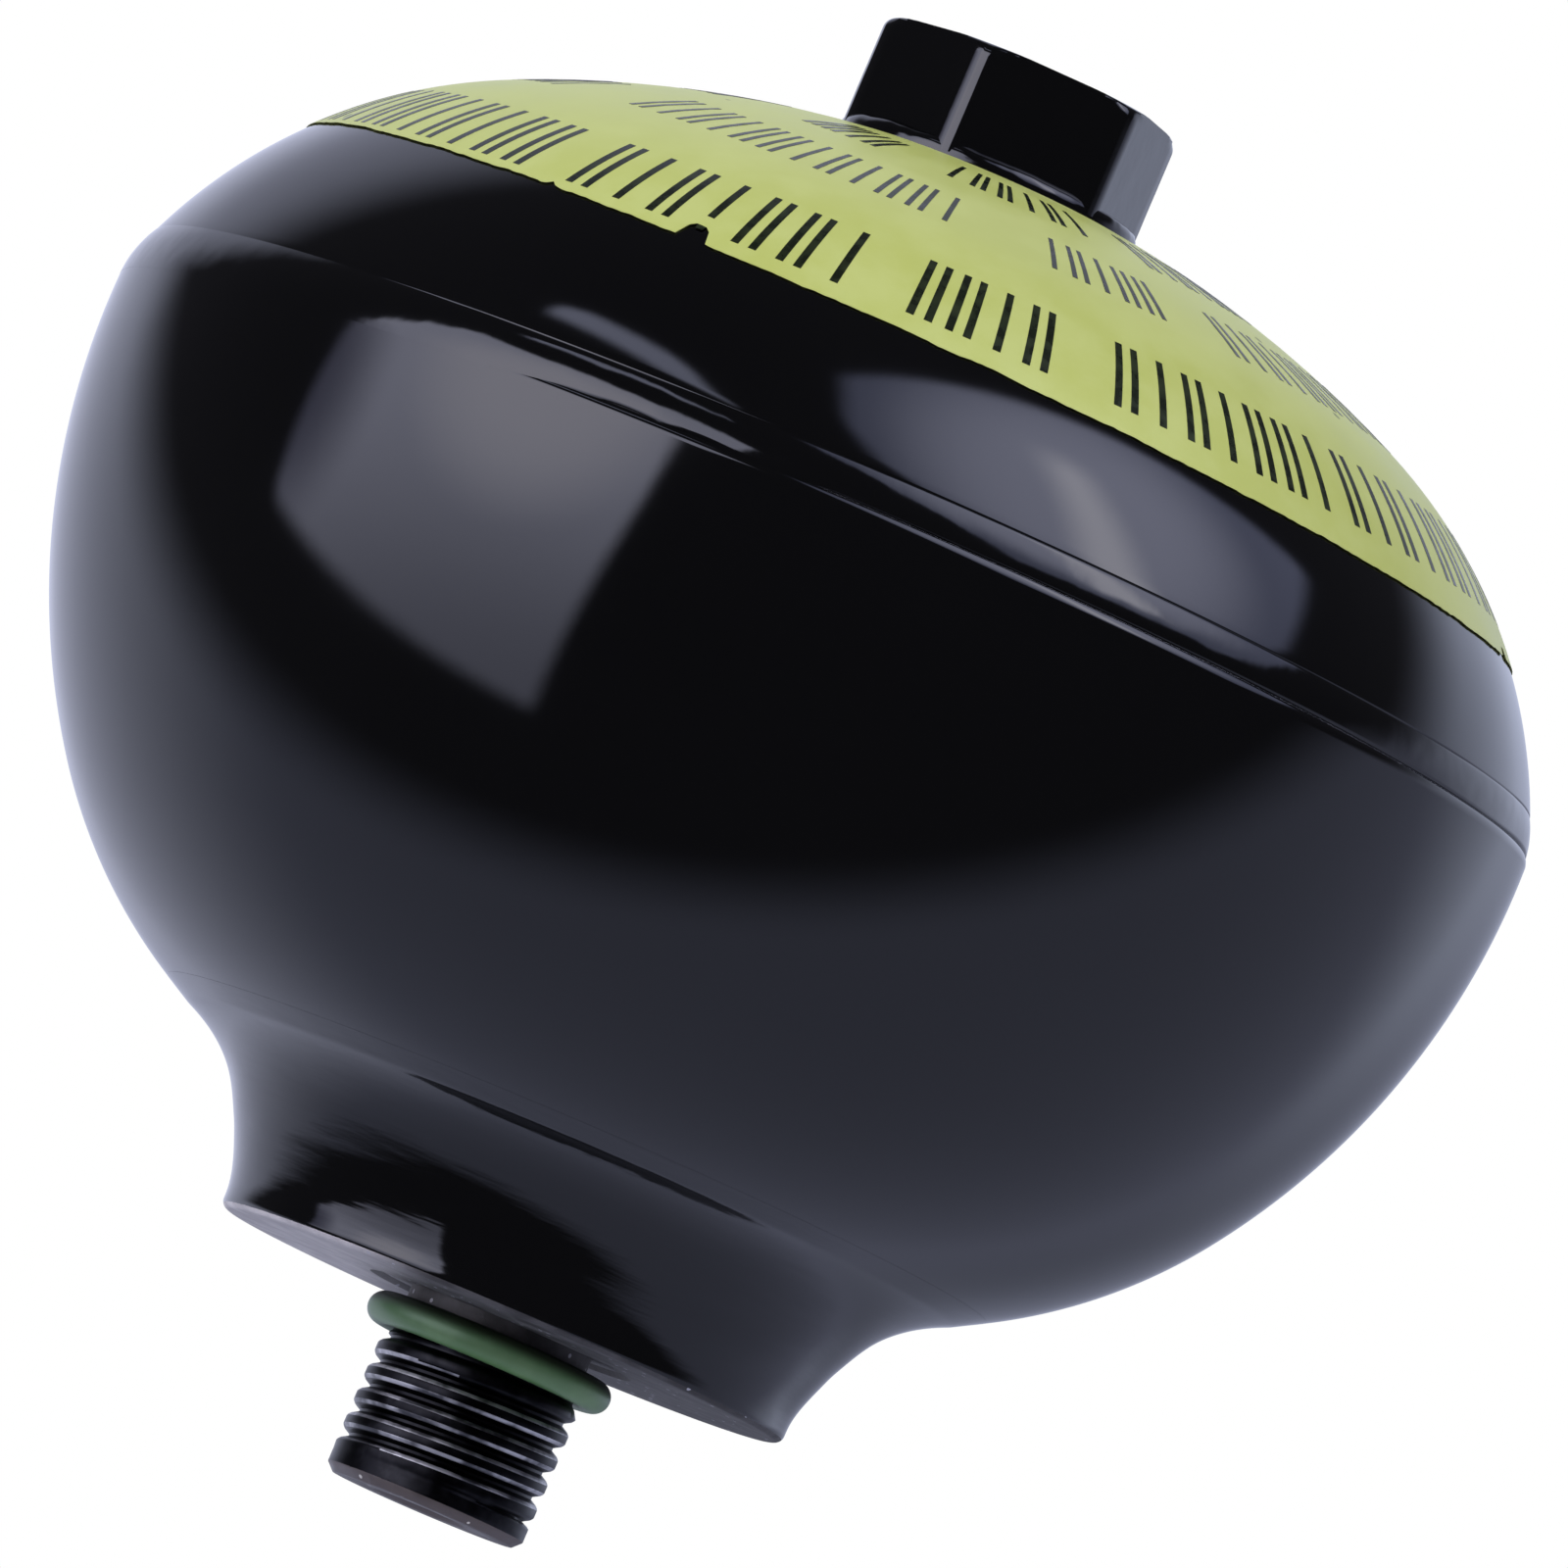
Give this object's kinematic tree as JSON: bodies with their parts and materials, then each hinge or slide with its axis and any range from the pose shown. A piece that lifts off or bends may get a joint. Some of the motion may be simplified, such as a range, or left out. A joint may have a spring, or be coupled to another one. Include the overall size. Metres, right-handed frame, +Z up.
{
  "type": "brake pressure accumulator",
  "caption": "Black welded steel sphere with a green label band, a hexagonal charging boss on top and a threaded port stud with a green sealing ring below.",
  "frame": {"origin": "centre of the machined seat face under the neck, on the axis of the port stud", "axes": "+Z up the axis from the port stud to the hexagonal boss; -Y faces the camera side"},
  "size_m": [0.0864, 0.0864, 0.0883],
  "materials": {
    "shell_paint": "gloss black paint on pressed steel",
    "weld_paint": "gloss black paint over weld bead",
    "boss_paint": "gloss black paint on bar steel",
    "fitting_steel": "gloss black neck, bare machined seat face and dark stud",
    "seal_rubber": "green sealing rubber, smooth",
    "ball_steel": "polished bearing steel",
    "plug_steel": "dark phosphated steel",
    "ring_steel": "plain turned steel",
    "diaphragm_rubber": "black moulded rubber, matt",
    "button_steel": "plain turned steel",
    "label_film": "yellow-green printed film, satin"
  },
  "bodies": {
    "shell": {"lower_shell": "shell_paint", "upper_shell": "shell_paint", "girth_weld": "weld_paint", "port_fitting": "fitting_steel", "fitting_weld": "weld_paint", "o_ring": "seal_rubber", "hex_boss": "boss_paint", "boss_weld": "weld_paint", "charge_ball": "ball_steel", "charge_plug": "plug_steel", "clamp_ring": "ring_steel", "diaphragm": "diaphragm_rubber", "label_band": "label_film"},
    "button": {"diaphragm_button": "button_steel"}
  },
  "joints": [
    {"name": "diaphragm_stroke", "type": "slide", "parent": "shell", "child": "button", "axis": [0, 0, 1], "range_m": [0, 0.029], "stiffness_N_per_m": 60, "deforming": ["diaphragm"]}
  ]
}
